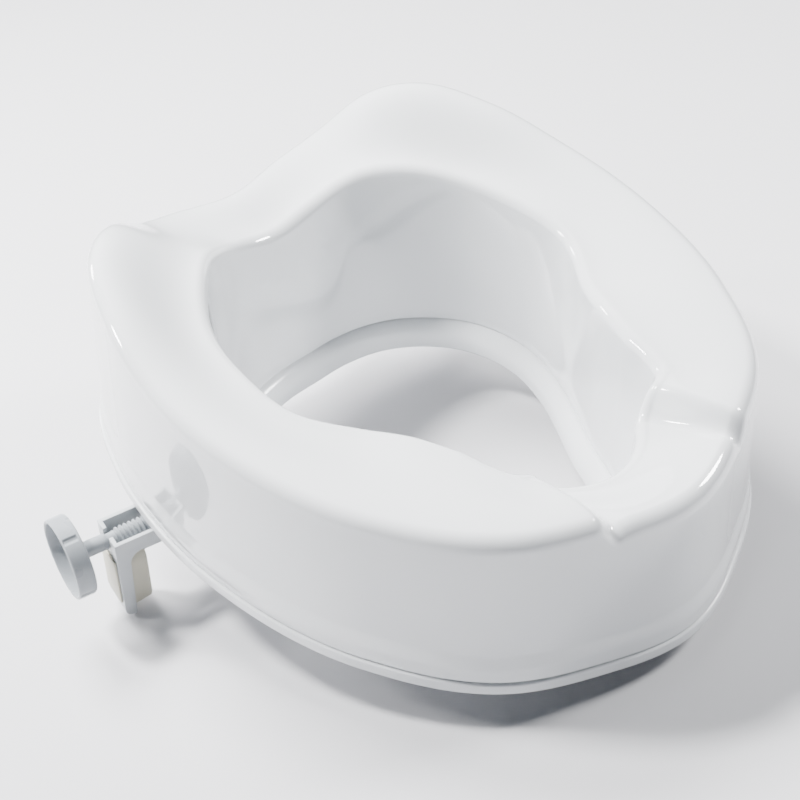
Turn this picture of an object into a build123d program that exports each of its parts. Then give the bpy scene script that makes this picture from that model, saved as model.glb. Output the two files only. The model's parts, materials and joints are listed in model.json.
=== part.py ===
from build123d import *
import math
import os

os.makedirs("parts", exist_ok=True)

# A raised toilet seat: a moulded shell on a base tray that rests on the bowl rim, held by two screw clamps.
# Millimetres, +Z up, -Y to the front. The floor of the frame is the level of the clamp leg tips.

# Heights
rim_z = 68.0  # foot of the outer wall
strip_height = 7.6  # tray edge that shows below the shell
shell_foot = 8.1
skirt_height = 24.0  # top of the stepped skirt, above the foot of the wall
ledge_drop = 11.0  # lower edge of the shell's funnel, below the foot of the wall
rest_drop = 14.0  # underside of the tray's rest rail
flange_drop = 30.0  # lower edge of the locating flange

# Shell
wall = 4.0
outer_round = 9.0
inner_round = 7.0
skirt_step = 2.2
skirt_round = 1.6

# Radii and heights round the seat, by angle in degrees from the front; the two sides are alike.
outer_radius = {0: 220, 15: 212, 30: 206, 50: 189, 75: 176, 100: 175.5}
outer_radius |= {120: 183.5, 135: 193.5, 150: 194.5, 165: 186, 180: 175}
inner_radius = {0: 165.5, 5: 163.5, 10: 157.5, 14: 151, 18: 150.5, 22: 152.5, 26: 143, 32: 127}
inner_radius |= {45: 110.5, 60: 105.5, 80: 113.5, 100: 115, 120: 120.5, 140: 125.5, 160: 134, 180: 132}
lower_radius = {0: 160, 12: 153, 22: 144, 31: 130, 43: 115, 58: 109, 75: 110, 95: 115, 116: 117}
lower_radius |= {132: 115, 148: 112, 165: 107, 180: 104}
outer_height = {0: 114, 15: 114, 30: 113.5, 50: 112, 75: 114, 100: 120}
outer_height |= {120: 131, 135: 135, 146: 127.5, 157: 105, 168: 94, 180: 90}
inner_height = {0: 107, 22: 107, 40: 105.5, 60: 100.5, 90: 105}
inner_height |= {120: 106.5, 140: 109.5, 152: 105, 166: 90, 180: 83}
wall_flare = {0: 10, 40: 7, 90: 2.3, 180: 7.5}

# Channel across the front: angles where its sides start and end, and its depth, at the outer and inner edges
channel_start = (13.4, 13.4)
channel_end = (17.0, 22.0)
channel_depth = (8.0, 22.0)

# Tray
strip_step = 1.4
lip_height = 13.0
plate = 3.0
joint_gap = 0.3
flange_wall = 3.5
ledge_width = 6.5
flange_lean = 3.5  # further inwards at the flange's lower edge
rest_width = 28.0
boss_radius = 4.0
boss_spots = [(36, 0.45), (-36, 0.45), (90, 0.3), (-90, 0.3), (145, 0.4), (-145, 0.4)]
pad_spots = [40, -40, 150, -150]
pad_size = (44.0, 15.0, 2.0)

# Clamps, in their own frame: X inwards along the screw, Y across, Z up from the foot of the wall
clamp_x = -199.6
clamp_y = 57.8
clamp_turn = -11.2
frame_length = 60.0
frame_width = 26.0
frame_wall = 2.6
frame_top = -0.8
frame_bottom = -13.2
frame_floor = -13.8
leg_root_depth = 8.6
leg_tip_depth = 7.2
root_round = 9.0
tip_round = 5.5
window = (17.0, -22.0, -54.0)
back_plate = (20.0, -18.0, -56.0)
leg_width = 24.4
leg_top = -11.5
grip_width = 18.6
grip_back = -1.4
grip_face = 21.0
grip_top = -18.5
grip_bottom = -62.5
screw_z = -7.0
neck_radius = 5.2
groove_radius = 4.2
crest_radius = 5.8
root_radius = 4.4
pitch = 3.0
thread_start = 4.0
thread_turns = 16
tip_radius = 3.4
knob_radius = 26.0
knob_back = -17.8
knob_mouth = -29.8
knob_wall = 2.4
knob_web = 3.4
head_end = -19.8  # outer end of the screw, blind inside the knob's web
groove_angle = 21.0
running_gap = 0.1
nut_start = 34.0
nut_length = 14.0
slide_in = 22.0
guide_start = 36.0
guide_width = 9.0
guide_gap = 0.5
keeper_start = 40.0
keeper_length = 8.0
keeper_thickness = 1.5
keeper_screw_y = 18.0
screw_radius = 1.6

# Angles of the points along a quarter of a ring, closer together by the channel's sides
front_angles = [0, 4, 8, 11, 12.4, 13.4, 14.3, 15.2, 16.1, 17, 18, 20, 22, 25, 28]
front_angles += [32, 38, 44, 50, 56, 62, 68, 74, 80, 85, 90]
back_angles = list(range(90, 140, 5)) + list(range(140, 181, 4))


def around(table, degrees):
    """Smooth value round the seat from a table of values by angle; both sides are alike."""
    angle = abs((degrees + 180.0) % 360.0 - 180.0)
    known = sorted(table)
    stops = [-known[1]] + known + [360.0 - known[-2]]
    values = [table[known[1]]] + [table[stop] for stop in known] + [table[known[-2]]]
    k = 1
    while k < len(stops) - 3 and angle > stops[k + 1]:
        k += 1
    span = stops[k + 1] - stops[k]
    slope_a = (values[k + 1] - values[k - 1]) / (stops[k + 1] - stops[k - 1])
    slope_b = (values[k + 2] - values[k]) / (stops[k + 2] - stops[k])
    t = (angle - stops[k]) / span
    start = values[k] * (1 + 2 * t) + slope_a * span * t
    end = values[k + 1] * (3 - 2 * t) - slope_b * span * (1 - t)
    return start * (1 - t) ** 2 + end * t**2


def plan_point(table, degrees):
    radius = around(table, degrees)
    angle = math.radians(degrees)
    return Vector(radius * math.sin(angle), -radius * math.cos(angle))


def edge_point(table, degrees, offset):
    """Point on a table's outline, moved outwards along the outline's normal."""
    along = plan_point(table, degrees + 2.0) - plan_point(table, degrees - 2.0)
    outward = Vector(along.Y, -along.X).normalized()
    return plan_point(table, degrees) + outward * offset


# The outlines' own centre is moved along Y so that the whole seat's box is centred on the origin.
foot_step = skirt_step + strip_step
front_reach = outer_radius[0] + wall_flare[0] + foot_step
back_reach = max(edge_point(outer_radius, a, wall_flare[180] + foot_step).Y for a in range(140, 181))
centre_y = (front_reach - back_reach) / 2


def outer_point(degrees, offset, height):
    """Point by the outer wall: offset is outwards from the wall's face, height is above its foot."""
    share = min(max(1 - height / outer_height[50], 0.0), 1.0)
    spot = edge_point(outer_radius, degrees, offset + around(wall_flare, degrees) * share)
    return spot + Vector(0, centre_y, rim_z + height)


def funnel_point(degrees, offset, height):
    """Point by the funnel's wall: offset is outwards from its inner face."""
    share = (height + ledge_drop) / (inner_height[90] + ledge_drop)
    low = edge_point(lower_radius, degrees, offset)
    high = edge_point(inner_radius, degrees, offset)
    return low + (high - low) * share + Vector(0, centre_y, rim_z + height)


def tray_point(degrees, offset, height):
    """Point by the locating flange: offset is outwards from the foot of the funnel."""
    return edge_point(lower_radius, degrees, offset) + Vector(0, centre_y, rim_z + height)


def ring(place):
    """Four smooth edges, end to end, through the points that place gives round the seat."""
    quarters = [front_angles, back_angles]
    quarters += [[360.0 - a for a in reversed(angles)] for angles in (back_angles, front_angles)]
    corners = {a: place(float(a)) for a in (0, 90, 180, 270)}
    edges = []
    for angles in quarters:
        picked = [place(float(a)) for a in angles]
        slopes = []
        for end in (angles[0], angles[-1]):
            near = place(end + 2.5) - place(end - 2.5)
            far = place(end + 5.0) - place(end - 5.0)
            slopes.append((near * 8 - far) * (1 / 30))
        picked[0] = corners[angles[0]]
        picked[-1] = corners[angles[-1] % 360]
        steps = [float(a) for a in angles]
        edges.append(Edge.make_spline(picked, tangents=slopes, parameters=steps, scale=False))
    return edges


def flat_faces(one, other):
    """Plane face between two level rings, or nothing if they are not at one height."""
    wires = [Wire(one), Wire(other)]
    boxes = [wire.bounding_box() for wire in wires]
    if max(b.max.Z for b in boxes) - min(b.min.Z for b in boxes) > 0.001:
        return []
    if boxes[0].size.X < boxes[1].size.X:
        wires.reverse()
    return [Face(wires[0], [wires[1]])]


def closed_band(rings):
    """Solid bounded by the straight-lined strips between each ring and the next, the last one closing it."""
    faces = []
    for k in range(len(rings)):
        pair = (rings[k - 1], rings[k])
        level = flat_faces(*pair)
        faces += level
        for part in range(0 if level else 4):
            faces += Shell.make_loft([Wire([edges[part]]) for edges in pair], True).faces()
    return Solid(Shell(faces))


def arc_rings(place, centre_offset, centre_height, radius, start, stop, steps):
    """Rings along a rounded edge; angles are measured from outwards towards up."""
    rings = []
    for k in range(steps + 1):
        angle = math.radians(start + (stop - start) * k / steps)
        shift = centre_offset + radius * math.cos(angle)
        lift = radius * math.sin(angle)
        rings.append(ring(lambda a, s=shift, h=lift: place(a, s, centre_height(a) + h)))
    return rings


def channel_dip(degrees, share):
    """Depth of the front channel, share of the way from the outer edge of the top to the inner one."""
    start = channel_start[0] + (channel_start[1] - channel_start[0]) * share
    end = channel_end[0] + (channel_end[1] - channel_end[0]) * share**2.2
    depth = channel_depth[0] + (channel_depth[1] - channel_depth[0]) * share
    angle = abs((degrees + 180.0) % 360.0 - 180.0)
    side = min(max((angle - start) / (end - start), 0.0), 1.0)
    return depth * (1 - side + 0.6 * math.sin(2 * math.pi * side) / (2 * math.pi))


def outer_top(degrees):
    return around(outer_height, degrees) - channel_dip(degrees, 0)


def inner_top(degrees):
    return around(inner_height, degrees) - channel_dip(degrees, 1)


def top_point(degrees, share, drop):
    """Point of the dished top, share of the way from the outer rounding to the inner one."""
    rise = 1 - share * share * (3 - 2 * share)
    outer = outer_point(degrees, -outer_round, outer_top(degrees) - drop)
    inner = funnel_point(degrees, inner_round, inner_top(degrees) - drop)
    flat = outer * (1 - share) + inner * share
    level = around(outer_height, degrees) * rise + around(inner_height, degrees) * (1 - rise)
    return Vector(flat.X, flat.Y, rim_z + level - channel_dip(degrees, share) - drop)


def top_rings(drop, steps):
    """Rings across the dished top, between its roundings."""
    rings = []
    for k in range(1, steps):
        rings.append(ring(lambda a, share=k / steps: top_point(a, share, drop)))
    return rings


def flat_ring(place, offset, height):
    return ring(lambda a: place(a, offset, height))


def make_shell():
    """One moulded skin: stepped skirt, outer wall, dished top and funnel, open underneath."""
    skirt_middle = skirt_height - skirt_round

    def outer_middle(a):
        return outer_top(a) - outer_round

    def inner_middle(a):
        return inner_top(a) - inner_round

    rings = [flat_ring(outer_point, skirt_step, shell_foot)]
    rings += arc_rings(outer_point, skirt_step - skirt_round, lambda a: skirt_middle, skirt_round, 0, 90, 3)
    rings += [flat_ring(outer_point, 0.0, skirt_height)]
    rings += arc_rings(outer_point, -outer_round, outer_middle, outer_round, 0, 90, 6)
    rings += top_rings(0.0, 10)
    rings += arc_rings(funnel_point, inner_round, inner_middle, inner_round, 90, 180, 5)
    rings += [flat_ring(funnel_point, 0.0, -ledge_drop)]
    rings += [flat_ring(funnel_point, wall, -ledge_drop)]
    rings += arc_rings(funnel_point, inner_round, inner_middle, inner_round - wall, 180, 90, 3)
    rings += top_rings(wall, 6)[::-1]
    rings += arc_rings(outer_point, -outer_round, outer_middle, outer_round - wall, 90, 0, 3)
    rings += [flat_ring(outer_point, -wall, shell_foot)]
    return closed_band(rings)


def left_clamp(shape):
    """Carry a shape from the clamp's own frame to the left side of the seat."""
    return Pos(clamp_x, clamp_y + centre_y, rim_z) * Rot(0, 0, clamp_turn) * shape


def box(x, y, z):
    """Block between the given pairs of limits."""
    size = (x[1] - x[0], y[1] - y[0], z[1] - z[0])
    return Pos((x[0] + x[1]) / 2, (y[0] + y[1]) / 2, (z[0] + z[1]) / 2) * Box(*size)


def turned(points):
    """Solid turned about the screw's axis from an outline of (along, radius) points."""
    face = make_face(Polyline(*[(x, 0, r) for x, r in points], close=True))
    return Pos(0, 0, screw_z) * revolve(face, Axis.X)


def make_tray():
    """Edge strip, plate, rest rail and locating flange, with a guided channel for each clamp."""
    inset = wall + joint_gap
    flange_in = ledge_width + flange_lean
    rings = [
        flat_ring(outer_point, foot_step - 1.2, 0.0),
        flat_ring(outer_point, foot_step, 1.2),
        flat_ring(outer_point, foot_step, strip_height),
        flat_ring(outer_point, -inset, strip_height),
        flat_ring(outer_point, -inset, lip_height),
        flat_ring(outer_point, -inset - 2.4, lip_height),
        flat_ring(outer_point, -inset - 2.4, plate),
        flat_ring(funnel_point, inset, plate),
        flat_ring(funnel_point, inset, -ledge_drop - joint_gap),
        flat_ring(tray_point, -ledge_width, -ledge_drop - joint_gap),
        flat_ring(tray_point, -flange_in, -flange_drop),
        flat_ring(tray_point, flange_wall - flange_in, -flange_drop),
        flat_ring(tray_point, flange_wall - ledge_width, -rest_drop),
        flat_ring(tray_point, rest_width, -rest_drop),
        flat_ring(tray_point, rest_width, 0.0),
    ]
    tray = closed_band(rings)
    half_channel = frame_width / 2 + guide_gap
    half_guide = half_channel + guide_width
    guide_end = nut_start + nut_length + 14
    guides = box((guide_start, guide_end), (-half_guide, half_guide), (frame_bottom - 0.2, 1))
    channel = box((-10, frame_length + slide_in + 2), (-half_channel, half_channel), (-40, 0))
    for carry in (left_clamp, right_clamp):
        tray = tray + carry(guides)
        tray = tray - carry(channel)
    holes = keeper_holes()
    tray = tray - left_clamp(holes) - right_clamp(holes)
    for spot in boss_places():
        tray = tray - spot * Pos(0, 0, -1) * Cylinder(screw_radius, plate + 2, align=stand)
    return tray


def right_clamp(shape):
    return mirror(left_clamp(shape), about=Plane.YZ)


stand = (Align.CENTER, Align.CENTER, Align.MIN)
keeper_middle = keeper_start + keeper_length / 2


def keeper_holes():
    hole = Cylinder(screw_radius, 24, align=stand)
    return Pos(keeper_middle, -keeper_screw_y, -30) * hole + Pos(keeper_middle, keeper_screw_y, -30) * hole


def boss_points():
    """Points under the shell's top where its posts start."""
    return [top_point(degrees, share, wall) for degrees, share in boss_spots]


def boss_places():
    """Feet of the posts, level with the foot of the wall."""
    return [Pos(top.X, top.Y, rim_z) for top in boss_points()]


def add_bosses(shell):
    """Hollow posts down from the underside of the shell's top to the tray's plate."""
    for top in boss_points():
        tall = top.Z - rim_z - plate + 1.0
        post = Cylinder(boss_radius, tall, align=stand) - Cylinder(screw_radius, 16, align=stand)
        shell = shell + Pos(top.X, top.Y, rim_z + plate) * post
    return shell


def make_tray_screws():
    screws = []
    for spot in boss_places():
        head = Pos(0, 0, -2.2) * Cylinder(3.2, 2.2, align=stand)
        screws.append(spot * (head + Cylinder(screw_radius, 14, align=stand)))
    return Compound(screws)


def make_rim_pad(degrees):
    """Non-slip pad under the rest rail."""
    middle = tray_point(degrees, rest_width / 2, -rest_drop)
    along = tray_point(degrees + 1, rest_width / 2, 0) - tray_point(degrees - 1, rest_width / 2, 0)
    turn = math.degrees(math.atan2(along.Y, along.X))
    length, width, thickness = pad_size
    pad = extrude(RectangleRounded(length, width, 4), -thickness)
    return Pos(middle.X, middle.Y, middle.Z) * Rot(0, 0, turn) * pad


def make_bracket():
    """Open frame that carries the screw, with the clamp's leg below its outer end."""
    root_x = leg_root_depth + root_round
    root_z = frame_bottom - root_round
    corner = root_round * (1 - math.sqrt(0.5))
    tip = tip_round * (1 - math.sqrt(0.5))
    root_middle = (leg_root_depth + corner, frame_bottom - corner)
    outline_edges = [
        Line((0, frame_top), (frame_length, frame_top)),
        Line((frame_length, frame_top), (frame_length, frame_bottom)),
        Line((frame_length, frame_bottom), (root_x, frame_bottom)),
        ThreePointArc((root_x, frame_bottom), root_middle, (leg_root_depth, root_z)),
        Line((leg_root_depth, root_z), (leg_tip_depth, -rim_z)),
        Line((leg_tip_depth, -rim_z), (tip_round, -rim_z)),
        ThreePointArc((tip_round, -rim_z), (tip, -rim_z + tip), (0, -rim_z + tip_round)),
        Line((0, -rim_z + tip_round), (0, frame_top)),
    ]
    side = make_face(Curve() + outline_edges)
    bracket = Plane.XZ * extrude(side, frame_width / 2, both=True)
    for y in ((leg_width / 2, frame_width), (-frame_width, -leg_width / 2)):
        bracket -= box((-1, root_x - 0.5), y, (-rim_z - 1, leg_top))
    inner = frame_width / 2 - frame_wall
    bracket -= box((frame_wall, frame_length - frame_wall), (-inner, inner), (frame_floor, 0))
    slot_half = groove_radius + running_gap
    slot = Rot(0, 90, 0) * Cylinder(slot_half, frame_wall + 2, align=stand)
    slot = Pos(-1, 0, screw_z) * slot
    slot += box((-1, frame_wall + 1), (-slot_half, slot_half), (screw_z, 0))
    bracket -= slot
    width, high, low = window
    bracket -= box((-1, 20), (-width / 2, width / 2), (low, high))
    bearing = Rot(0, 90, 0) * Cylinder(tip_radius + running_gap, frame_wall + 2, align=stand)
    return bracket - Pos(frame_length - frame_wall - 1, 0, screw_z) * bearing


def make_grip_pad():
    """Soft pad on the inner face of the leg, plugged through the leg's window."""
    half = grip_width / 2
    dome = grip_top - half
    face = make_face(
        Curve()
        + [
            Line((half, dome), (half, grip_bottom)),
            Line((half, grip_bottom), (-half, grip_bottom)),
            Line((-half, grip_bottom), (-half, dome)),
            ThreePointArc((-half, dome), (0, grip_top), (half, dome)),
        ]
    )
    front = leg_root_depth + 0.1
    pad = Plane.YZ * face
    pad = Pos(front, 0, 0) * extrude(pad, grip_face - front)
    front_edges = pad.edges().filter_by_position(Axis.X, grip_face - 0.1, grip_face + 0.1)
    pad = fillet(front_edges, 2.0)
    width, high, low = window
    plug = box((-0.6, front + 1), (-width / 2 + 0.1, width / 2 - 0.1), (low + 0.1, high - 0.1))
    plate_width, plate_high, plate_low = back_plate
    plug += box((grip_back, -0.1), (-plate_width / 2, plate_width / 2), (plate_low, plate_high))
    return pad + plug - make_bracket()


def make_screw():
    """Clamp screw: head end in the knob, grooved neck, rounded thread and bearing tip."""
    outline_points = [(head_end, 0), (head_end, neck_radius), (-joint_gap, neck_radius)]
    outline_points += [(-joint_gap, groove_radius), (frame_wall + joint_gap, groove_radius)]
    steps = 8
    for k in range(thread_turns * steps + 1):
        swing = math.cos(2 * math.pi * k / steps)
        middle = (crest_radius + root_radius) / 2
        radius = middle - swing * (crest_radius - root_radius) / 2
        outline_points.append((thread_start + pitch * k / steps, radius))
    end = frame_length - frame_wall - joint_gap
    tip_end = frame_length - 0.4
    outline_points += [(end, root_radius), (end, tip_radius), (tip_end, tip_radius), (tip_end, 0)]
    return turned(outline_points)


def make_knob():
    """Cupped hand knob, open outwards, with four grip grooves."""
    web = knob_back - knob_web
    bore = neck_radius
    points = [
        (knob_back, bore),
        (knob_back, knob_radius - 1.0),
        (knob_back - 1.0, knob_radius),
        (knob_mouth + 0.6, knob_radius),
        (knob_mouth, knob_radius - 0.6),
        (knob_mouth, knob_radius - knob_wall),
        (web, knob_radius - knob_wall - 1.0),
        (web, 0),
        (head_end, 0),
        (head_end, bore),
    ]
    knob = turned(points)
    for k in range(4):
        groove = Rot(0, 90, 0) * Cylinder(1.9, 10.4, align=stand)
        groove = Pos(knob_mouth + 0.8, 0, knob_radius + 0.8) * groove
        knob -= Pos(0, 0, screw_z) * Rot(groove_angle + 90 * k, 0, 0) * groove
    return knob


def make_nut_block():
    """Block under the tray's plate that the screw runs through."""
    half = frame_width / 2 - frame_wall - 0.5
    block = box((nut_start, nut_start + nut_length), (-half, half), (frame_bottom - 0.2, 0))
    bore = Rot(0, 90, 0) * Cylinder(crest_radius + running_gap, nut_length + 2, align=stand)
    return block - Pos(nut_start - 1, 0, screw_z) * bore


def make_keeper():
    """Flat strap under the frame's rails, screwed to the tray's guides."""
    half = frame_width / 2 + guide_gap + guide_width
    top = frame_bottom - 0.3
    strap = box((keeper_start, keeper_start + keeper_length), (-half, half), (top - keeper_thickness, top))
    return strap - keeper_holes()


def make_keeper_screws():
    screws = []
    foot = frame_bottom - 0.3 - keeper_thickness
    for y in (-keeper_screw_y, keeper_screw_y):
        head = Cylinder(2.6, 0.8, align=stand)
        shank = Cylinder(screw_radius, 7.0, align=stand)
        screws.append(Pos(keeper_middle, y, foot - 0.8) * (head + shank))
    return Compound(screws)


def save(shape, node):
    export_step(shape, "parts/" + node + ".step")


save(add_bosses(make_shell()), "seat_shell")
save(make_tray(), "base_tray")
save(make_tray_screws(), "tray_screws")
for number, degrees in enumerate(pad_spots, 1):
    save(make_rim_pad(degrees), "rim_pad_" + str(number))
pieces = {
    "bracket": make_bracket(),
    "grip_pad": make_grip_pad(),
    "clamp_screw": make_screw(),
    "hand_knob": make_knob(),
    "nut_block": make_nut_block(),
    "keeper_strap": make_keeper(),
    "keeper_screws": make_keeper_screws(),
}
for name, piece in pieces.items():
    save(left_clamp(piece), name + "_left")
    save(right_clamp(piece), name + "_right")
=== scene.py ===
"""Raised toilet seat with two screw clamps: the visual model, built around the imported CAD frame.

Shapes are worked out in millimetres, as in part.py, and meshes are made in metres.
"""

import json
import math

import bmesh
import bpy
import numpy as np
from mathutils import Matrix, Vector


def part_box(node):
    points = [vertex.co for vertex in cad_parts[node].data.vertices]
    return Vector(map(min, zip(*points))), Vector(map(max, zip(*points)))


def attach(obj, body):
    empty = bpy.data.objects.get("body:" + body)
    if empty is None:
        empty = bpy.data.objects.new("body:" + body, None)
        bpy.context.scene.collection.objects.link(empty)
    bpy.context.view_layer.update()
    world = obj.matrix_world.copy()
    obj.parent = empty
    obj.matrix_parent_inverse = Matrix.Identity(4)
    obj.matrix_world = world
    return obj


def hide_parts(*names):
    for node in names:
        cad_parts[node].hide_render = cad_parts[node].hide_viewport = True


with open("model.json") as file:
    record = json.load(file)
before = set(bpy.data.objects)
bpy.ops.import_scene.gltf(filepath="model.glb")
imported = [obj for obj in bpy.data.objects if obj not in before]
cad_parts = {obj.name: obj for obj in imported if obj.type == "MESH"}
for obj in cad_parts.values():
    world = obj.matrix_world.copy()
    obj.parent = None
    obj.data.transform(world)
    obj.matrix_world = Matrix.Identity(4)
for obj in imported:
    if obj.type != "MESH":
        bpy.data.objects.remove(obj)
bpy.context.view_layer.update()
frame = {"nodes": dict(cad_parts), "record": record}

MM = 0.001

# ---------------------------------------------------------------- driving dimensions, millimetres

# Radii and heights round the seat by angle in degrees from the front; the two sides are alike.
OUTER_RADIUS = {0: 220, 15: 212, 30: 206, 50: 189, 75: 176, 100: 175.5}
OUTER_RADIUS |= {120: 183.5, 135: 193.5, 150: 194.5, 165: 186, 180: 175}
INNER_RADIUS = {0: 165.5, 5: 163.5, 10: 157.5, 14: 151, 18: 150.5, 22: 152.5, 26: 143, 32: 127}
INNER_RADIUS |= {45: 110.5, 60: 105.5, 80: 113.5, 100: 115, 120: 120.5, 140: 125.5, 160: 134, 180: 132}
LOWER_RADIUS = {0: 160, 12: 153, 22: 144, 31: 130, 43: 115, 58: 109, 75: 110, 95: 115, 116: 117}
LOWER_RADIUS |= {132: 115, 148: 112, 165: 107, 180: 104}
OUTER_HEIGHT = {0: 114, 15: 114, 30: 113.5, 50: 112, 75: 114, 100: 120}
OUTER_HEIGHT |= {120: 131, 135: 135, 146: 127.5, 157: 105, 168: 94, 180: 90}
INNER_HEIGHT = {0: 107, 22: 107, 40: 105.5, 60: 100.5, 90: 105}
INNER_HEIGHT |= {120: 106.5, 140: 109.5, 152: 105, 166: 90, 180: 83}
WALL_FLARE = {0: 10, 40: 7, 90: 2.3, 180: 7.5}

# Channel across the front, each pair at the outer and the inner edge of the top: the angles where its sides
# start and end, and its depth. The notch is a small dip in its side by the outer edge.
CHANNEL_START = (13.4, 13.4)
CHANNEL_END = (17.0, 22.0)
CHANNEL_DEPTH = (8.0, 22.0)
CHANNEL_FAN = 2.2
CHANNEL_ROUND = 0.6
NOTCH_ANGLE = 14.0
NOTCH_WIDTH = 1.7
NOTCH_DEPTH = 3.0

# Shell and tray
WALL = 4.0
OUTER_ROUND = 9.0
INNER_ROUND = 7.0
SKIRT_STEP = 2.2
SKIRT_TOP = 29.0
SKIRT_START = 17.0
SHELL_FOOT = 8.1
LEDGE_DROP = 11.0
STRIP_STEP = 1.4
STRIP_HEIGHT = 7.6
STRIP_FOOT_ROUND = 1.2
STRIP_TOP_ROUND = 1.4
LIP_HEIGHT = 13.0
LIP_WIDTH = 2.4
PLATE = 3.0
GAP = 0.3
LEDGE_WIDTH = 6.5
FLANGE_LEAN = 3.5
FLANGE_WALL = 3.5
FLANGE_DROP = 30.0
FLANGE_BEND = 2.6
FLANGE_FALL = 1.25
REST_WIDTH = 28.0
REST_DROP = 14.0
REST_ROUND = 1.0

# How far these meshes stay inside the CAD's box, whose own curves are slightly different
TOP_MARGIN = 0.01
STRIP_MARGIN = 0.06

# Clamps, in their own frame: X inwards along the screw, Y across, Z up from the foot of the wall
FRAME_LENGTH = 60.0
FRAME_WIDTH = 26.0
FRAME_WALL = 2.6
FRAME_TOP = -0.8
FRAME_BOTTOM = -13.2
FRAME_FLOOR = -13.8
LEG_ROOT_DEPTH = 8.6
LEG_TIP_DEPTH = 7.2
LEG_WIDTH = 24.4
LEG_TOP = -11.5
ROOT_ROUND = 9.0
TIP_ROUND = 5.5
BRACKET_EDGE = 0.7
PLATE_EDGE = 0.5
# Width, top and bottom of the hole in the leg, and of the pad's plate behind it
WINDOW = (17.0, -22.0, -54.0)
BACK_PLATE = (20.0, -18.0, -56.0)
GRIP_WIDTH = 18.6
GRIP_BACK = -1.4
GRIP_FACE = 21.0
GRIP_TOP = -18.5
GRIP_BOTTOM = -62.5
GRIP_ROUND = 3.0
GRIP_DRAFT = 0.6
GRIP_FACE_DRAFT = 2.4
NECK_RADIUS = 5.2
GROOVE_RADIUS = 4.2
CREST_RADIUS = 5.8
ROOT_RADIUS = 4.4
ROOT_SINK = 0.4
CREST_FULLNESS = 0.8
PITCH = 3.0
THREAD_START = 4.0
THREAD_TURNS = 16
TIP_RADIUS = 3.4
KNOB_RADIUS = 26.0
KNOB_BACK = -17.8
KNOB_MOUTH = -29.8
KNOB_WALL = 2.4
KNOB_WEB = 3.4
KNOB_ROUND = 2.0
CUP_ROUND = 2.5
HEAD_END = -19.8
GRIP_GROOVE_ANGLE = 21.0
GRIP_GROOVE_DEPTH = 1.1
GRIP_GROOVE_HALF = 1.9
GUIDE_GAP = 0.5
GUIDE_WIDTH = 9.0
GUIDE_START = 36.0
GUIDE_END = 62.0
SLIDE_IN = 22.0
SCREW_Z = -7.0

SIDES = ("left", "right")

# ---------------------------------------------------------------- where the seat stands

# Height of the foot of the outer wall above the clamp legs' tips
RIM_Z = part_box("seat_shell")[0].z / MM + LEDGE_DROP - TOP_MARGIN


def around(table, degrees):
    """Smooth values round the seat from a table of values by angle."""
    angle = np.abs((np.asarray(degrees, float) + 180.0) % 360.0 - 180.0)
    known = sorted(table)
    stops = np.array([-known[1]] + known + [360.0 - known[-2]], float)
    values = np.array([table[known[1]]] + [table[stop] for stop in known] + [table[known[-2]]], float)
    k = np.clip(np.searchsorted(stops, angle, side="left") - 1, 1, len(stops) - 3)
    span = stops[k + 1] - stops[k]
    slope_a = (values[k + 1] - values[k - 1]) / (stops[k + 1] - stops[k - 1])
    slope_b = (values[k + 2] - values[k]) / (stops[k + 2] - stops[k])
    t = (angle - stops[k]) / span
    start = values[k] * (1 + 2 * t) + slope_a * span * t
    end = values[k + 1] * (3 - 2 * t) - slope_b * span * (1 - t)
    return start * (1 - t) ** 2 + end * t**2


def plan(table, degrees):
    """Points of a table's outline, seen from above, at angles from the front."""
    radius = around(table, degrees)
    angle = np.radians(degrees)
    return np.stack([radius * np.sin(angle), -radius * np.cos(angle)], axis=1)


# Points round the rings stand closer together by the front channel's sides.
channel_angles = np.arange(12.0, 24.01, 0.25)
ANGLES = np.unique(np.concatenate([np.arange(-180.0, 180.0, 1.0), channel_angles, -channel_angles]))
AROUND = len(ANGLES)


def edge(table):
    """Points of a table's outline and the outline's outward directions."""
    along = plan(table, ANGLES + 2.0) - plan(table, ANGLES - 2.0)
    outward = np.stack([along[:, 1], -along[:, 0]], axis=1)
    return plan(table, ANGLES), outward / np.linalg.norm(outward, axis=1)[:, None]


outer_spot, outer_way = edge(OUTER_RADIUS)
inner_spot, inner_way = edge(INNER_RADIUS)
lower_spot, lower_way = edge(LOWER_RADIUS)


def ease(share):
    """Share from 0 to 1 that starts and stops gently."""
    return share * share * (3 - 2 * share)


def channel_dip(share):
    """Depth of the front channel, share of the way from the outer edge of the top to the inner one."""
    start = CHANNEL_START[0] + (CHANNEL_START[1] - CHANNEL_START[0]) * share
    end = CHANNEL_END[0] + (CHANNEL_END[1] - CHANNEL_END[0]) * share**CHANNEL_FAN
    depth = CHANNEL_DEPTH[0] + (CHANNEL_DEPTH[1] - CHANNEL_DEPTH[0]) * share
    side = np.clip((np.abs(ANGLES) - start) / (end - start), 0.0, 1.0)
    notch = NOTCH_DEPTH * (1 - share) ** 2 * np.exp(-(((np.abs(ANGLES) - NOTCH_ANGLE) / NOTCH_WIDTH) ** 2))
    return depth * (1 - side + CHANNEL_ROUND * np.sin(2 * math.pi * side) / (2 * math.pi)) + notch


outer_top = around(OUTER_HEIGHT, ANGLES) - channel_dip(0.0)
inner_top = around(INNER_HEIGHT, ANGLES) - channel_dip(1.0)
flare = around(WALL_FLARE, ANGLES)

# The outlines' centre stands off the frame's origin, so that the whole box is centred on it.
strip_reach = SKIRT_STEP + STRIP_STEP
front_reach = OUTER_RADIUS[0] + WALL_FLARE[0] + strip_reach
back_reach = np.max(outer_spot[:, 1] + outer_way[:, 1] * (WALL_FLARE[180] + strip_reach))
CENTRE_Y = (front_reach - back_reach) / 2


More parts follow.
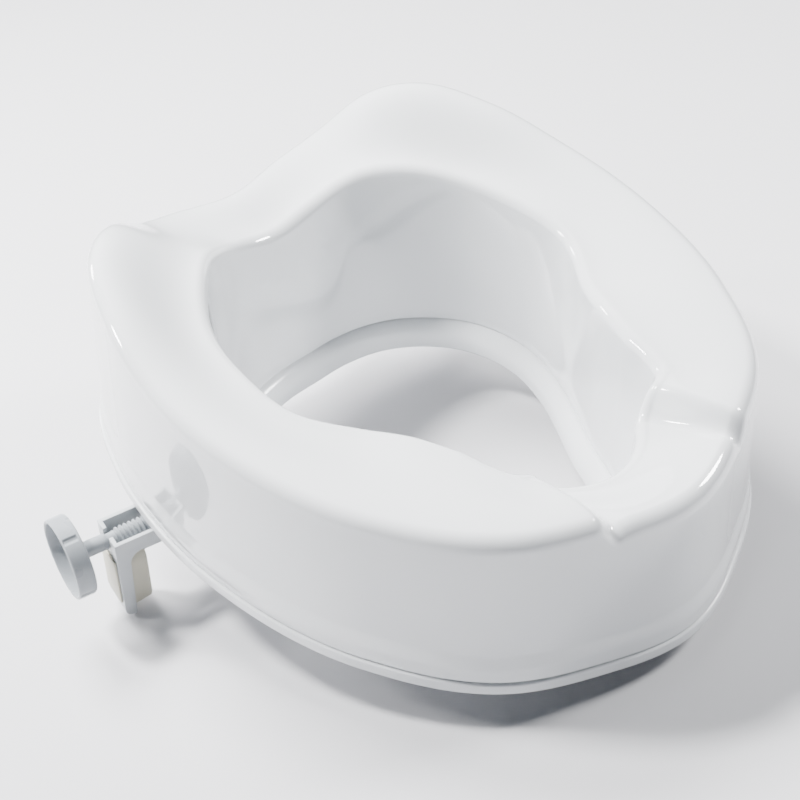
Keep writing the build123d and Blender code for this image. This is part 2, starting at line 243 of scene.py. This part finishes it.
def raised(spot, height):
    """Ring in the frame from outline points and a height, or a height for each of them."""
    high = np.broadcast_to(np.asarray(height, float), (AROUND,))
    return np.stack([spot[:, 0], spot[:, 1] + CENTRE_Y, high + RIM_Z], axis=1)


def outer_ring(offset, height):
    """Ring by the outer wall: offset is outwards from its face, height is above its foot."""
    share = np.clip(1 - np.asarray(height, float) / OUTER_HEIGHT[50], 0.0, 1.0)
    return raised(outer_spot + outer_way * (offset + flare * share)[:, None], height)


def funnel_ring(offset, height):
    """Ring by the funnel's wall: offset is outwards from its inner face."""
    share = (np.asarray(height, float) + LEDGE_DROP) / (INNER_HEIGHT[90] + LEDGE_DROP)
    share = np.broadcast_to(share, (AROUND,))[:, None]
    low = lower_spot + lower_way * offset
    high = inner_spot + inner_way * offset
    return raised(low + (high - low) * share, height)


def tray_ring(offset, height):
    """Ring by the flange: offset is outwards from the foot of the funnel."""
    return raised(lower_spot + lower_way * offset, height)


def arc_rings(ring, middle, centre, radius, start, stop, steps):
    """Rings round an edge, from angle start to stop, measured from outwards towards up.

    ring makes each one from its offset and its height; middle and centre are those of the edge's axis.
    """
    rings = []
    for k in range(steps + 1):
        angle = math.radians(start + (stop - start) * k / steps)
        rings.append(ring(middle + radius * math.cos(angle), centre + radius * math.sin(angle)))
    return rings


def spread(one, other, steps):
    """Rings evenly between two, without either."""
    return [one + (other - one) * k / steps for k in range(1, steps)]


# ---------------------------------------------------------------- meshes


def new_object(name, verts, faces, crease=38.0):
    """Smooth-shaded object from points in millimetres, with sharp edges kept above the crease angle."""
    mesh = bpy.data.meshes.new(name)
    mesh.from_pydata([tuple(float(c) * MM for c in v) for v in verts], [], faces)
    shape = bmesh.new()
    shape.from_mesh(mesh)
    bmesh.ops.recalc_face_normals(shape, faces=shape.faces)
    shape.to_mesh(mesh)
    shape.free()
    mesh.shade_smooth()
    mesh.set_sharp_from_angle(angle=math.radians(crease))
    obj = bpy.data.objects.new(name, mesh)
    bpy.context.scene.collection.objects.link(obj)
    return obj


def ring_faces(rows, count, closed_rows):
    """Faces between rows of count points each, and from the last row to the first where they close."""
    faces = []
    for r in range(rows if closed_rows else rows - 1):
        a = r * count
        b = ((r + 1) % rows) * count
        for k in range(count):
            n = (k + 1) % count
            faces.append((a + k, a + n, b + n, b + k))
    return faces


def ring_object(name, rings, closed_rows=True, crease=38.0):
    """Object through rings of points; a row of rings that isn't closed gets flat ends."""
    count = len(rings[0])
    faces = ring_faces(len(rings), count, closed_rows)
    if not closed_rows:
        faces.append(tuple(range(count)))
        faces.append(tuple(range((len(rings) - 1) * count, len(rings) * count)))
    return new_object(name, np.concatenate(rings), faces, crease)


def block(x, y, z):
    """Closed box between the given pairs of limits, as points and faces."""
    verts = [(x[i], y[j], z[k]) for i in (0, 1) for j in (0, 1) for k in (0, 1)]
    return verts, [(0, 1, 3, 2), (4, 6, 7, 5), (0, 4, 5, 1), (2, 3, 7, 6), (0, 2, 6, 4), (1, 5, 7, 3)]


def prism(outline, low, high):
    """Closed solid over an outline of (X, Z) points, from low to high along Y."""
    count = len(outline)
    verts = [(x, low, z) for x, z in outline] + [(x, high, z) for x, z in outline]
    faces = [tuple(range(count)), tuple(range(count, 2 * count))]
    faces += [(k, (k + 1) % count, count + (k + 1) % count, count + k) for k in range(count)]
    return verts, faces


def arc(middle, radius, start, stop, steps):
    """Points along an arc, from angle start to stop, both included."""
    spots = [math.radians(start + (stop - start) * k / steps) for k in range(steps + 1)]
    return [(middle[0] + radius * math.cos(a), middle[1] + radius * math.sin(a)) for a in spots]


def rows_object(name, rows, crease=38.0):
    """Closed solid through rows of points, the first and last row each coming to a flat end."""
    return ring_object(name, [np.array(row) for row in rows], closed_rows=False, crease=crease)


def cut(obj, kind, others):
    """Join the others to the object (UNION) or cut them away (DIFFERENCE), and remove them."""
    for other in others:
        step = obj.modifiers.new("step", "BOOLEAN")
        step.operation = kind
        step.solver = "EXACT"
        step.object = other
    bpy.context.view_layer.update()
    made = bpy.data.meshes.new_from_object(obj.evaluated_get(bpy.context.evaluated_depsgraph_get()))
    obj.modifiers.clear()
    old = obj.data
    obj.data = made
    bpy.data.meshes.remove(old)
    for other in others:
        bpy.data.objects.remove(other)


def soften(obj, width, segments=3, sharp=32.0, crease=50.0):
    """Round the edges where faces meet sharply."""
    mesh = bmesh.new()
    mesh.from_mesh(obj.data)
    bmesh.ops.remove_doubles(mesh, verts=mesh.verts, dist=0.02 * MM)
    bmesh.ops.dissolve_limit(mesh, angle_limit=math.radians(1.0), verts=mesh.verts, edges=mesh.edges)
    picked = [e for e in mesh.edges if e.is_manifold and e.calc_face_angle(0.0) > math.radians(sharp)]
    bmesh.ops.bevel(
        mesh,
        geom=picked,
        offset=width * MM,
        segments=segments,
        profile=0.5,
        affect="EDGES",
        clamp_overlap=True,
    )
    bmesh.ops.recalc_face_normals(mesh, faces=mesh.faces)
    mesh.to_mesh(obj.data)
    mesh.free()
    obj.data.shade_smooth()
    obj.data.set_sharp_from_angle(angle=math.radians(crease))


def merged(name, *objs):
    """One object from several, keeping each one's points and faces."""
    mesh = bmesh.new()
    for obj in objs:
        mesh.from_mesh(obj.data)
    data = bpy.data.meshes.new(name)
    mesh.to_mesh(data)
    mesh.free()
    for obj in objs:
        bpy.data.objects.remove(obj)
    made = bpy.data.objects.new(name, data)
    bpy.context.scene.collection.objects.link(made)
    return made


def clamp_frame(side):
    """Axes of a clamp: X inwards along its screw, Z up, with the foot of the outer wall at height 0."""
    joint = next(j for j in frame["record"]["behaviour"]["joints"] if j["name"] == "knob_turn_" + side)
    inward = Vector(joint["axis"])
    across = Vector((0, 0, 1)).cross(inward)
    pose = Matrix((inward, across, Vector((0, 0, 1)))).transposed().to_4x4()
    pose.translation = Vector(joint["pos_m"]) - Vector((0, 0, SCREW_Z * MM))
    return pose


def place(obj, pose):
    """Move the mesh's points into a pose, and leave the object itself at the origin."""
    obj.data.transform(pose)
    obj.data.update()
    return obj


# ---------------------------------------------------------------- materials


def plastic(name, colour, roughness, grain=0.0, coat=0.0, soft=0.0):
    """Moulded plastic: slow drift in tone and gloss, faint ripple from the mould and a fine grain."""
    material = bpy.data.materials.new(name)
    material.use_nodes = True
    nodes = material.node_tree.nodes
    links = material.node_tree.links
    shader = nodes["Principled BSDF"]
    shader.inputs["IOR"].default_value = 1.5
    shader.inputs["Coat Weight"].default_value = coat
    shader.inputs["Coat Roughness"].default_value = 0.03
    if soft:
        shader.inputs["Subsurface Weight"].default_value = soft
        shader.inputs["Subsurface Radius"].default_value = (1.0, 0.8, 0.6)
        shader.inputs["Subsurface Scale"].default_value = 0.003
    where = nodes.new("ShaderNodeTexCoord")

    def noise(scale, detail):
        texture = nodes.new("ShaderNodeTexNoise")
        texture.inputs["Scale"].default_value = scale
        texture.inputs["Detail"].default_value = detail
        links.new(where.outputs["Object"], texture.inputs["Vector"])
        return texture.outputs["Fac"]

    def between(factor, low, high):
        ranged = nodes.new("ShaderNodeMapRange")
        ranged.inputs["To Min"].default_value = low
        ranged.inputs["To Max"].default_value = high
        links.new(factor, ranged.inputs["Value"])
        return ranged.outputs["Result"]

    tone = nodes.new("ShaderNodeMix")
    tone.data_type = "RGBA"
    tone.inputs["A"].default_value = (*[c * 0.985 for c in colour], 1)
    tone.inputs["B"].default_value = (*colour, 1)
    links.new(noise(9.0, 3.0), tone.inputs["Factor"])
    links.new(tone.outputs["Result"], shader.inputs["Base Color"])
    links.new(between(noise(35.0, 4.0), roughness * 0.85, roughness * 1.2), shader.inputs["Roughness"])
    ripple = nodes.new("ShaderNodeBump")
    ripple.inputs["Strength"].default_value = 0.05
    ripple.inputs["Distance"].default_value = 0.002
    links.new(noise(26.0, 1.0), ripple.inputs["Height"])
    grained = nodes.new("ShaderNodeBump")
    grained.inputs["Strength"].default_value = grain
    grained.inputs["Distance"].default_value = 0.0002
    links.new(noise(1400.0, 2.0), grained.inputs["Height"])
    links.new(ripple.outputs["Normal"], grained.inputs["Normal"])
    links.new(grained.outputs["Normal"], shader.inputs["Normal"])
    return material


shell_white = plastic("shell_white", (0.69, 0.705, 0.72), 0.08, grain=0.03, coat=1.0)
tray_white = plastic("tray_white", (0.68, 0.695, 0.71), 0.2, grain=0.05, coat=0.2)
clamp_plastic = plastic("clamp_plastic", (0.29, 0.31, 0.33), 0.28, grain=0.12)
bracket_plastic = plastic("bracket_plastic", (0.48, 0.5, 0.515), 0.3, grain=0.12)
pad_ivory = plastic("pad_ivory", (0.54, 0.515, 0.42), 0.45, grain=0.3, soft=0.1)
pad_rubber = plastic("pad_rubber", (0.5, 0.5, 0.49), 0.55, grain=0.4)


def steel():
    """Zinc-plated steel: the same drift in tone and gloss as the plastics, on metal."""
    material = plastic("zinc_steel", (0.58, 0.59, 0.6), 0.33, grain=0.2)
    material.node_tree.nodes["Principled BSDF"].inputs["Metallic"].default_value = 1.0
    return material


zinc = steel()


def finish(obj, material, body, slot, *nodes):
    """Give a piece its material and body, with the CAD nodes that it takes the place of."""
    obj.data.materials.clear()
    obj.data.materials.append(material)
    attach(obj, body)
    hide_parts(*nodes)


# ---------------------------------------------------------------- shell


def top_rings(drop, steps):
    """Rings across the top between its two rounded edges, drop below its face."""
    outer = outer_ring(-OUTER_ROUND, outer_top - drop)
    inner = funnel_ring(INNER_ROUND, inner_top - drop)
    rings = []
    for k in range(1, steps):
        share = k / steps
        rise = 1 - ease(share)
        flat = outer * (1 - share) + inner * share
        level = around(OUTER_HEIGHT, ANGLES) * rise + around(INNER_HEIGHT, ANGLES) * (1 - rise)
        flat[:, 2] = RIM_Z + level - channel_dip(share) - drop
        rings.append(flat)
    return rings


def make_shell():
    """One closed skin: up the outer wall, over the top, down the funnel, and back by the inner faces."""
    outer_middle = outer_top - OUTER_ROUND
    inner_middle = inner_top - INNER_ROUND
    rings = [outer_ring(SKIRT_STEP - 0.6, SHELL_FOOT), outer_ring(SKIRT_STEP, SHELL_FOOT + 0.8)]
    for k in range(13):
        share = k / 12
        step = SKIRT_STEP * (1 - ease(share))
        rings.append(outer_ring(step, SKIRT_START + (SKIRT_TOP - SKIRT_START) * share))
    rounding = arc_rings(outer_ring, -OUTER_ROUND, outer_middle, OUTER_ROUND, 0, 90, 14)
    rings += spread(rings[-1], rounding[0], 16) + rounding
    rings += top_rings(0.0, 30)
    lip = arc_rings(funnel_ring, INNER_ROUND, inner_middle, INNER_ROUND, 90, 180, 12)
    rings += lip
    foot = funnel_ring(0.0, -LEDGE_DROP + 1.0)
    rings += spread(lip[-1], foot, 16) + [foot]
    rings += [funnel_ring(0.3, -LEDGE_DROP + 0.3), funnel_ring(1.0, -LEDGE_DROP)]
    rings += [funnel_ring(WALL, -LEDGE_DROP)]
    rings += arc_rings(funnel_ring, INNER_ROUND, inner_middle, INNER_ROUND - WALL, 180, 90, 4)
    rings += top_rings(WALL, 8)[::-1]
    rings += arc_rings(outer_ring, -OUTER_ROUND, outer_middle, OUTER_ROUND - WALL, 90, 0, 4)
    rings.append(outer_ring(-WALL, SHELL_FOOT))
    return ring_object("shell", rings)


finish(make_shell(), shell_white, "seat", "shell_white", "seat_shell")

# ---------------------------------------------------------------- tray


def make_tray():
    """Edge strip, plate, rest rail and rounded flange, with a guide block and a channel for each clamp."""
    inset = WALL + GAP
    reach = SKIRT_STEP + STRIP_STEP - STRIP_MARGIN
    tip = FLANGE_WALL / 2
    lean = LEDGE_WIDTH + FLANGE_LEAN
    ledge = -LEDGE_DROP - GAP
    ledge_end = 0.6
    foot_round, top_round = STRIP_FOOT_ROUND, STRIP_TOP_ROUND
    rings = [outer_ring(reach - 1.5, 0.0)]
    rings += arc_rings(outer_ring, reach - foot_round, foot_round, foot_round, -70, 0, 4)
    rings += arc_rings(outer_ring, reach - top_round, STRIP_HEIGHT - foot_round, top_round, 0, 90, 5)
    rings += [
        outer_ring(-inset, STRIP_HEIGHT),
        outer_ring(-inset, LIP_HEIGHT),
        outer_ring(-inset - LIP_WIDTH, LIP_HEIGHT),
        outer_ring(-inset - LIP_WIDTH, PLATE),
        funnel_ring(inset, PLATE),
        funnel_ring(inset, ledge),
        tray_ring(-ledge_end, ledge),
    ]
    # The flange's inner side curves over from the ledge and leans inwards to its rounded lower edge.
    for k in range(1, 15):
        share = k / 14
        bend = 1 - (1 - share) ** FLANGE_BEND
        height = ledge - (FLANGE_DROP - LEDGE_DROP - tip) * share**FLANGE_FALL
        rings.append(tray_ring(-ledge_end - (lean - ledge_end) * bend, height))
    rings += arc_rings(tray_ring, -lean + tip, -FLANGE_DROP + tip + 0.05, tip, 200, 340, 6)
    rings += [
        tray_ring(FLANGE_WALL - LEDGE_WIDTH, -REST_DROP),
        tray_ring(REST_WIDTH - REST_ROUND, -REST_DROP),
        tray_ring(REST_WIDTH, -REST_DROP + REST_ROUND),
        tray_ring(REST_WIDTH, 0.0),
    ]
    tray = ring_object("tray", rings)
    half = FRAME_WIDTH / 2 + GUIDE_GAP
    wide = half + GUIDE_WIDTH
    for side in SIDES:
        pose = clamp_frame(side)
        guide = new_object("guide", *block((GUIDE_START, GUIDE_END), (-wide, wide), (FRAME_BOTTOM - 0.2, 1)))
        channel = new_object("channel", *block((-10, FRAME_LENGTH + SLIDE_IN + 2), (-half, half), (-40, 0)))
        cut(tray, "UNION", [place(guide, pose)])
        cut(tray, "DIFFERENCE", [place(channel, pose)])
    tray.data.shade_smooth()
    tray.data.set_sharp_from_angle(angle=math.radians(38.0))
    return tray


finish(make_tray(), tray_white, "seat", "tray_white", "base_tray")

# ---------------------------------------------------------------- clamps


def turned_rows(outline, columns):
    """Rows of points turned about the screw's axis, from (along, radius) pairs; radius may vary round it."""
    spin = np.arange(columns) * 2 * math.pi / columns
    rows = []
    for x, r in outline:
        rows.append(np.stack([np.full(columns, x), r * np.cos(spin), SCREW_Z + r * np.sin(spin)], axis=1))
    return rows


def make_bracket(side):
    """Open-topped frame with a leg at its outer end, and the holes for the screw and the pad's plug."""
    root = (LEG_ROOT_DEPTH + ROOT_ROUND, FRAME_BOTTOM - ROOT_ROUND)
    outline = [(0, FRAME_TOP), (FRAME_LENGTH, FRAME_TOP), (FRAME_LENGTH, FRAME_BOTTOM)]
    outline += arc(root, ROOT_ROUND, 90, 180, 12)
    outline += [(LEG_TIP_DEPTH, -RIM_Z)]
    outline += arc((TIP_ROUND, -RIM_Z + TIP_ROUND), TIP_ROUND, 270, 180, 8)
    half = FRAME_WIDTH / 2
    inner = half - FRAME_WALL
    slot_half = GROOVE_RADIUS + 0.1
    width, high, low = WINDOW
    bracket = new_object("bracket", *prism(outline, -half, half))
    pocket_x = (FRAME_WALL, FRAME_LENGTH - FRAME_WALL)
    tools = [
        new_object("pocket", *block(pocket_x, (-inner, inner), (FRAME_FLOOR, 1))),
        new_object("window", *block((-1, 20), (-width / 2, width / 2), (low, high))),
    ]
    # The screw's groove lies in a slot that is open at the top and round at the bottom.
    around_slot = arc((0.0, SCREW_Z), slot_half, 180, 360, 12) + [(slot_half, 1.0), (-slot_half, 1.0)]
    verts, faces = prism(around_slot, -1.0, FRAME_WALL + 0.5)
    tools.append(new_object("slot", [(x, y, z) for y, x, z in verts], faces))
    leg_x = (-1, LEG_ROOT_DEPTH + ROOT_ROUND - 0.5)
    leg_z = (-RIM_Z - 1, LEG_TOP)
    for leg_y in ((LEG_WIDTH / 2, half + 1), (-half - 1, -LEG_WIDTH / 2)):
        tools.append(new_object("side", *block(leg_x, leg_y, leg_z)))
    hole = TIP_RADIUS + 0.1
    bearing = turned_rows([(FRAME_LENGTH - FRAME_WALL - 0.5, hole), (FRAME_LENGTH + 1, hole)], 32)
    tools.append(rows_object("bearing", bearing))
    cut(bracket, "DIFFERENCE", tools)
    soften(bracket, BRACKET_EDGE)
    bracket.name = "bracket_body_" + side
    return place(bracket, clamp_frame(side))


def make_grip_pad(side):
    """Pad with an arched top and a rounded face, plugged through the window to a plate behind the leg."""
    half = GRIP_WIDTH / 2
    outline = [(-half, GRIP_BOTTOM), (half, GRIP_BOTTOM)]
    outline += arc((0, GRIP_TOP - half), half, 0, 180, 24)
    rows = []
    front = LEG_ROOT_DEPTH + 0.1
    middle = (GRIP_TOP + GRIP_BOTTOM) / 2
    half_height = (GRIP_TOP - GRIP_BOTTOM) / 2
    # Where each row stands, and how far it is drawn in
    face = GRIP_FACE - GRIP_ROUND
    levels = [(front - 1.6, 0.0), (front + 0.5, 0.0), (front + 5.0, 0.25), (face, GRIP_DRAFT)]
    for a in np.linspace(0.2, math.pi / 2, 7):
        levels.append((face + GRIP_ROUND * math.sin(a), GRIP_DRAFT + GRIP_FACE_DRAFT * (1 - math.cos(a))))
    for x, shrink in levels:
        scale_y = (half - shrink) / half
        scale_z = (half_height - shrink) / half_height
        rows.append([(x, y * scale_y, middle + (z - middle) * scale_z) for y, z in outline])
    pad = rows_object("pad", rows, crease=50.0)
    width, high, low = BACK_PLATE
    plate = new_object("plate", *block((GRIP_BACK, -0.1), (-width / 2, width / 2), (low, high)))
    soften(plate, PLATE_EDGE)
    width, high, low = WINDOW
    plug_y = (-width / 2 + 0.1, width / 2 - 0.1)
    plug = new_object("plug", *block((-0.6, front), plug_y, (low + 0.1, high - 0.1)))
    made = merged("grip_pad_body_" + side, pad, plate, plug)
    made.data.set_sharp_from_angle(angle=math.radians(50.0))
    return place(made, clamp_frame(side))


def make_screw(side):
    """Head in the knob, neck, grooved bearing, rounded right-hand thread and tip."""
    columns = 64
    spin = np.arange(columns) * 2 * math.pi / columns
    bevel = 0.5
    rows = turned_rows([(HEAD_END, NECK_RADIUS - bevel), (HEAD_END + bevel, NECK_RADIUS)], columns)
    rows += turned_rows([(KNOB_BACK - 0.1, NECK_RADIUS), (-4.2, NECK_RADIUS), (-0.8, NECK_RADIUS)], columns)
    rows += turned_rows([(-GAP, NECK_RADIUS - bevel)], columns)
    rows += turned_rows([(-GAP, GROOVE_RADIUS), (FRAME_WALL + GAP, GROOVE_RADIUS)], columns)
    steps = 14
    for k in range(THREAD_TURNS * steps + 1):
        x = THREAD_START + PITCH * k / steps
        ends = min(k, THREAD_TURNS * steps - k) / steps
        depth = (CREST_RADIUS - ROOT_RADIUS) * min(ends, 1.0)
        wave = 0.5 + 0.5 * np.cos(spin - 2 * math.pi * k / steps)
        radius = ROOT_RADIUS - ROOT_SINK + (depth + ROOT_SINK) * wave**CREST_FULLNESS
        rows += turned_rows([(x, radius)], columns)
    end = FRAME_LENGTH - FRAME_WALL - GAP
    rows += turned_rows([(end - 0.4, ROOT_RADIUS), (end, ROOT_RADIUS - 0.4), (end, TIP_RADIUS)], columns)
    rows += turned_rows([(FRAME_LENGTH - 0.8, TIP_RADIUS), (FRAME_LENGTH - 0.4, TIP_RADIUS - 0.4)], columns)
    return place(rows_object("screw_" + side, rows, crease=45.0), clamp_frame(side))


def make_knob(side):
    """Cupped hand knob with a rounded mouth and four grip grooves."""
    columns = 288
    spin = np.arange(columns) * 2 * math.pi / columns
    off = (np.degrees(spin) - GRIP_GROOVE_ANGLE + 45.0) % 90.0 - 45.0
    across = np.radians(off) * KNOB_RADIUS
    groove = GRIP_GROOVE_DEPTH * np.sqrt(np.clip(1 - (across / GRIP_GROOVE_HALF) ** 2, 0.0, 1.0))
    lip = KNOB_WALL / 2
    web = KNOB_BACK - KNOB_WEB
    inner = KNOB_RADIUS - KNOB_WALL
    # Each point of the profile: along, radius, and the share of the grooves' depth that is cut there
    back_round = KNOB_RADIUS - KNOB_ROUND
    profile = [(KNOB_BACK, NECK_RADIUS, 0.0)]
    profile += [(KNOB_BACK, KNOB_RADIUS * 0.5, 0.0), (KNOB_BACK, back_round - 0.2, 0.0)]
    for a in np.linspace(0, math.pi / 2, 7)[1:]:
        x = KNOB_BACK - KNOB_ROUND * (1 - math.cos(a))
        profile.append((x, back_round + KNOB_ROUND * math.sin(a), 0.0))
    for x in np.linspace(KNOB_BACK - KNOB_ROUND - 0.2, KNOB_MOUTH + 1.3, 24):
        ends = min(KNOB_BACK - 1.6 - x, x - KNOB_MOUTH - 0.6)
        run = max(0.0, 1 - ends / GRIP_GROOVE_HALF)
        profile.append((x, KNOB_RADIUS, math.sqrt(max(0.0, 1 - run**2))))
    for a in np.linspace(0, math.pi, 11)[1:]:
        profile.append((KNOB_MOUTH + lip - lip * math.sin(a), KNOB_RADIUS - lip + lip * math.cos(a), 0.0))
    for a in np.linspace(0, math.pi / 2, 7):
        x = web - CUP_ROUND * (1 - math.sin(a))
        profile.append((x, inner - 0.9 - CUP_ROUND * (1 - math.cos(a)), 0.0))
    profile += [(web + 0.1, inner * 0.6, 0.0), (web + 0.15, inner * 0.3, 0.0), (web + 0.15, 0.6, 0.0)]
    rows = []
    for x, radius, depth in profile:
        r = radius - groove * depth
        # The angle turns from up, so that the grooves stand where they do on the CAD's knob.
        rows.append(np.stack([np.full(columns, x), -r * np.sin(spin), SCREW_Z + r * np.cos(spin)], axis=1))
    return place(rows_object("knob_" + side, rows, crease=50.0), clamp_frame(side))


for side in SIDES:
    finish(make_bracket(side), bracket_plastic, "clamp_" + side, "bracket", "bracket_" + side)
    finish(make_grip_pad(side), pad_ivory, "clamp_" + side, "pad_ivory", "grip_pad_" + side)
    finish(make_screw(side), clamp_plastic, "knob_" + side, "clamp_plastic", "clamp_screw_" + side)
    finish(make_knob(side), clamp_plastic, "knob_" + side, "clamp_plastic", "hand_knob_" + side)

# ---------------------------------------------------------------- materials on the CAD pieces kept

kept = {"tray_screws": zinc}
for number in (1, 2, 3, 4):
    kept[f"rim_pad_{number}"] = pad_rubber
for side in SIDES:
    kept["nut_block_" + side] = tray_white
    kept["keeper_strap_" + side] = zinc
    kept["keeper_screws_" + side] = zinc
for node, material in kept.items():
    mesh = frame["nodes"][node].data
    mesh.materials.clear()
    mesh.materials.append(material)

# ---------------------------------------------------------------- floor

# The seat stands tipped on its clamp legs and the front of its flange, so the floor slopes in the frame.
LEG_FOOT = 6.0
FLOOR_GAP = 0.4
FLOOR_REACH = 4000.0
LEG_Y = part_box("bracket_left")[0].y / MM + LEG_FOOT
FLANGE_Y = CENTRE_Y - LOWER_RADIUS[0] + LEDGE_WIDTH + FLANGE_LEAN
FLOOR_SLOPE = (RIM_Z - FLANGE_DROP) / (LEG_Y - FLANGE_Y)


def floor_height(y):
    """Height of the floor in the frame, just under the points that the seat stands on."""
    return FLOOR_SLOPE * (LEG_Y - y) - FLOOR_GAP


def make_floor():
    reach = FLOOR_REACH
    corners = [(-reach, -reach), (reach, -reach), (reach, reach), (-reach, reach)]
    verts = [(x, y, floor_height(y)) for x, y in corners]
    return new_object("floor", verts, [(0, 1, 2, 3)])


floor = make_floor()
paper = plastic("floor_paper", (0.585, 0.583, 0.6), 0.75, grain=0.1)
floor.data.materials.append(paper)

# ---------------------------------------------------------------- lights and camera


def area_light(name, spot, target, size, power):
    """Round lamp of the given width at a spot, turned to its target."""
    data = bpy.data.lights.new(name, "AREA")
    data.shape = "DISK"
    data.size = size
    data.energy = power
    lamp = bpy.data.objects.new(name, data)
    lamp.location = spot
    lamp.rotation_euler = (Vector(target) - Vector(spot)).to_track_quat("-Z", "Y").to_euler()
    bpy.context.scene.collection.objects.link(lamp)
    return lamp


key = area_light("key", (-0.62, 0.9, 1.3), (0, 0, 0.1), 0.26, 70)
key.visible_glossy = False
broad = area_light("broad_key", (0.05, 1.4, 1.5), (0.05, 0.1, 0.1), 0.9, 136)
broad.visible_glossy = False
area_light("low_glint", (-0.96, 1.09, 0.77), (0, 0, 0.1), 0.22, 14)
area_light("back_glint", (-0.45, 1.45, 0.42), (0, 0, 0.15), 0.3, 10)
area_light("beside", (1.15, -0.5, 1.2), (0.1, -0.05, 0), 0.4, 42)

world = bpy.data.worlds.new("room")
world.use_nodes = True
sky = world.node_tree.nodes["Background"].inputs
sky["Color"].default_value = (0.7, 0.84, 1.0, 1)
sky["Strength"].default_value = 0.13
bpy.context.scene.world = world

VIEW_AZIMUTH = math.radians(-43.28)
VIEW_ELEVATION = math.radians(44.19)
VIEW_ROLL = math.radians(0.16)
VIEW_DISTANCE = 0.9967
VIEW_TARGET = Vector((-0.01493, 0.01683, 0.10136))

camera_data = bpy.data.cameras.new("camera")
camera_data.sensor_width = 36.0
camera_data.lens = 71.85
camera_data.clip_end = 20.0
camera = bpy.data.objects.new("camera", camera_data)
back = Vector((
    math.sin(VIEW_AZIMUTH) * math.cos(VIEW_ELEVATION),
    -math.cos(VIEW_AZIMUTH) * math.cos(VIEW_ELEVATION),
    math.sin(VIEW_ELEVATION),
))
camera.location = VIEW_TARGET + back * VIEW_DISTANCE
turned = back.to_track_quat("Z", "Y").to_matrix() @ Matrix.Rotation(VIEW_ROLL, 3, "Z")
camera.rotation_euler = turned.to_euler()
bpy.context.scene.collection.objects.link(camera)
bpy.context.scene.camera = camera
